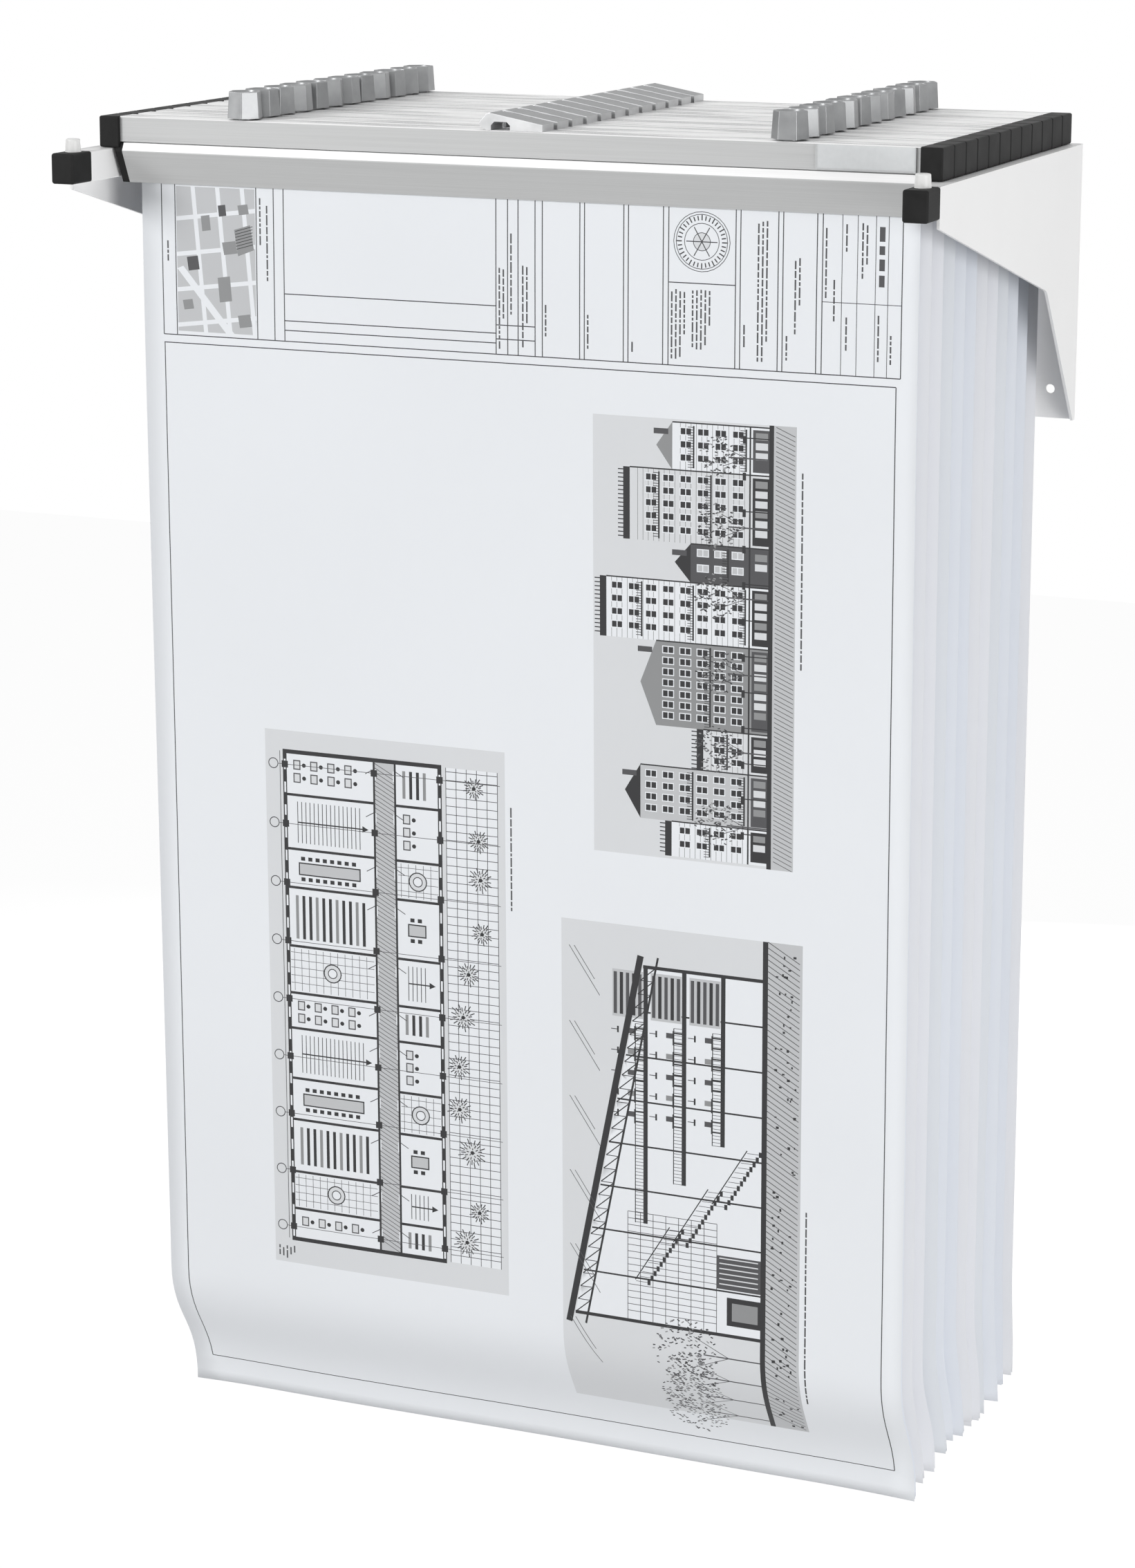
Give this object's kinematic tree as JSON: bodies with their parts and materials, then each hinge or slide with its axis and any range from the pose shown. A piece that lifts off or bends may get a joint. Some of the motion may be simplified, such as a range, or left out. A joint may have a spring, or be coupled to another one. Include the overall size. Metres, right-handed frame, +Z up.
{
  "type": "plan hanging rack",
  "caption": "Wall-mounted rack of white steel brackets and rails carrying a row of knob-tightened aluminium clamps, each hanging a bundle of large drawing sheets.",
  "frame": {"origin": "centre of the four wall holes, on the wall plane that the bracket flanges rest on", "axes": "+X to the right seen from the room, +Y into the wall, +Z up"},
  "size_m": [0.656, 0.3894, 1.0311],
  "materials": {
    "white_powder_coat": "fine white powder coat on folded steel",
    "aluminium": "satin anodised extrusion with a finely ribbed top",
    "black_plastic": "moulded, lightly textured",
    "grey_plastic": "moulded light grey",
    "white_plastic": "moulded white",
    "clear_plastic": "clear extruded strip",
    "steel": "zinc plated bar",
    "paper": "uncoated drawing paper with thin grey line drawings"
  },
  "bodies": {
    "rack": {"bracket_left": "white_powder_coat", "bracket_right": "white_powder_coat", "rail_tube_left": "white_powder_coat", "rail_tube_right": "white_powder_coat", "rail_end_caps": "black_plastic", "stop_pegs": "white_plastic"},
    "clamp_01": {"clamp_01_spine": "aluminium", "clamp_01_end_caps": "black_plastic", "clamp_01_handle": "grey_plastic", "clamp_01_label_holder": "clear_plastic", "clamp_01_sheets": "paper"},
    "clamp_01_jaw": {"clamp_01_front_jaw": "aluminium"},
    "clamp_01_bar": {"clamp_01_clamping_bar": "steel"},
    "clamp_01_left_knob": {"clamp_01_knob_left": "grey_plastic"},
    "clamp_01_right_knob": {"clamp_01_knob_right": "grey_plastic"},
    "clamp_02": {"clamp_02_extrusion": "aluminium", "clamp_02_end_caps": "black_plastic", "clamp_02_grips": "grey_plastic", "clamp_02_sheets": "paper"},
    "clamp_03": {"clamp_03_extrusion": "aluminium", "clamp_03_end_caps": "black_plastic", "clamp_03_grips": "grey_plastic", "clamp_03_sheets": "paper"},
    "clamp_04": {"clamp_04_extrusion": "aluminium", "clamp_04_end_caps": "black_plastic", "clamp_04_grips": "grey_plastic", "clamp_04_sheets": "paper"},
    "clamp_05": {"clamp_05_extrusion": "aluminium", "clamp_05_end_caps": "black_plastic", "clamp_05_grips": "grey_plastic", "clamp_05_sheets": "paper"},
    "clamp_06": {"clamp_06_extrusion": "aluminium", "clamp_06_end_caps": "black_plastic", "clamp_06_grips": "grey_plastic", "clamp_06_sheets": "paper"},
    "clamp_07": {"clamp_07_extrusion": "aluminium", "clamp_07_end_caps": "black_plastic", "clamp_07_grips": "grey_plastic", "clamp_07_sheets": "paper"},
    "clamp_08": {"clamp_08_extrusion": "aluminium", "clamp_08_end_caps": "black_plastic", "clamp_08_grips": "grey_plastic", "clamp_08_sheets": "paper"},
    "clamp_09": {"clamp_09_extrusion": "aluminium", "clamp_09_end_caps": "black_plastic", "clamp_09_grips": "grey_plastic", "clamp_09_sheets": "paper"},
    "clamp_10": {"clamp_10_extrusion": "aluminium", "clamp_10_end_caps": "black_plastic", "clamp_10_grips": "grey_plastic", "clamp_10_sheets": "paper"},
    "clamp_11": {"clamp_11_extrusion": "aluminium", "clamp_11_end_caps": "black_plastic", "clamp_11_grips": "grey_plastic", "clamp_11_sheets": "paper"},
    "clamp_12": {"clamp_12_extrusion": "aluminium", "clamp_12_end_caps": "black_plastic", "clamp_12_grips": "grey_plastic", "clamp_12_sheets": "paper"}
  },
  "joints": [
    {"name": "clamp_01_lift", "type": "slide", "parent": "rack", "child": "clamp_01", "axis": [0, 0, 1], "range_m": [0, 0.02]},
    {"name": "clamp_02_lift", "type": "slide", "parent": "rack", "child": "clamp_02", "axis": [0, 0, 1], "range_m": [0, 0.02]},
    {"name": "clamp_03_lift", "type": "slide", "parent": "rack", "child": "clamp_03", "axis": [0, 0, 1], "range_m": [0, 0.02]},
    {"name": "clamp_04_lift", "type": "slide", "parent": "rack", "child": "clamp_04", "axis": [0, 0, 1], "range_m": [0, 0.02]},
    {"name": "clamp_05_lift", "type": "slide", "parent": "rack", "child": "clamp_05", "axis": [0, 0, 1], "range_m": [0, 0.02]},
    {"name": "clamp_06_lift", "type": "slide", "parent": "rack", "child": "clamp_06", "axis": [0, 0, 1], "range_m": [0, 0.02]},
    {"name": "clamp_07_lift", "type": "slide", "parent": "rack", "child": "clamp_07", "axis": [0, 0, 1], "range_m": [0, 0.02]},
    {"name": "clamp_08_lift", "type": "slide", "parent": "rack", "child": "clamp_08", "axis": [0, 0, 1], "range_m": [0, 0.02]},
    {"name": "clamp_09_lift", "type": "slide", "parent": "rack", "child": "clamp_09", "axis": [0, 0, 1], "range_m": [0, 0.02]},
    {"name": "clamp_10_lift", "type": "slide", "parent": "rack", "child": "clamp_10", "axis": [0, 0, 1], "range_m": [0, 0.02]},
    {"name": "clamp_11_lift", "type": "slide", "parent": "rack", "child": "clamp_11", "axis": [0, 0, 1], "range_m": [0, 0.02]},
    {"name": "clamp_12_lift", "type": "slide", "parent": "rack", "child": "clamp_12", "axis": [0, 0, 1], "range_m": [0, 0.02]},
    {"name": "clamp_01_knob_left_turn", "type": "hinge", "parent": "clamp_01", "child": "clamp_01_left_knob", "pos_m": [-0.2075, -0.319, 0.1318], "axis": [0, 0, 1], "range_deg": [0, 720]},
    {"name": "clamp_01_knob_right_turn", "type": "hinge", "parent": "clamp_01", "child": "clamp_01_right_knob", "pos_m": [0.2075, -0.319, 0.1318], "axis": [0, 0, 1], "range_deg": [0, 720]},
    {"name": "clamp_01_bar_drop", "type": "slide", "parent": "clamp_01", "child": "clamp_01_bar", "axis": [0, 0, -1], "range_m": [0, 0.003]},
    {"name": "clamp_01_jaw_open", "type": "hinge", "parent": "clamp_01", "child": "clamp_01_jaw", "pos_m": [0, -0.3255, 0.1168], "axis": [-1, 0, 0], "range_deg": [0, 12]}
  ],
  "couplings": [
    {"joint": "clamp_01_knob_left_turn", "follows": "clamp_01_bar_drop", "rad_per_m": 4188.8},
    {"joint": "clamp_01_knob_right_turn", "follows": "clamp_01_bar_drop", "rad_per_m": 4188.8},
    {"joint": "clamp_01_jaw_open", "follows": "clamp_01_bar_drop", "rad_per_m": 69.813}
  ]
}
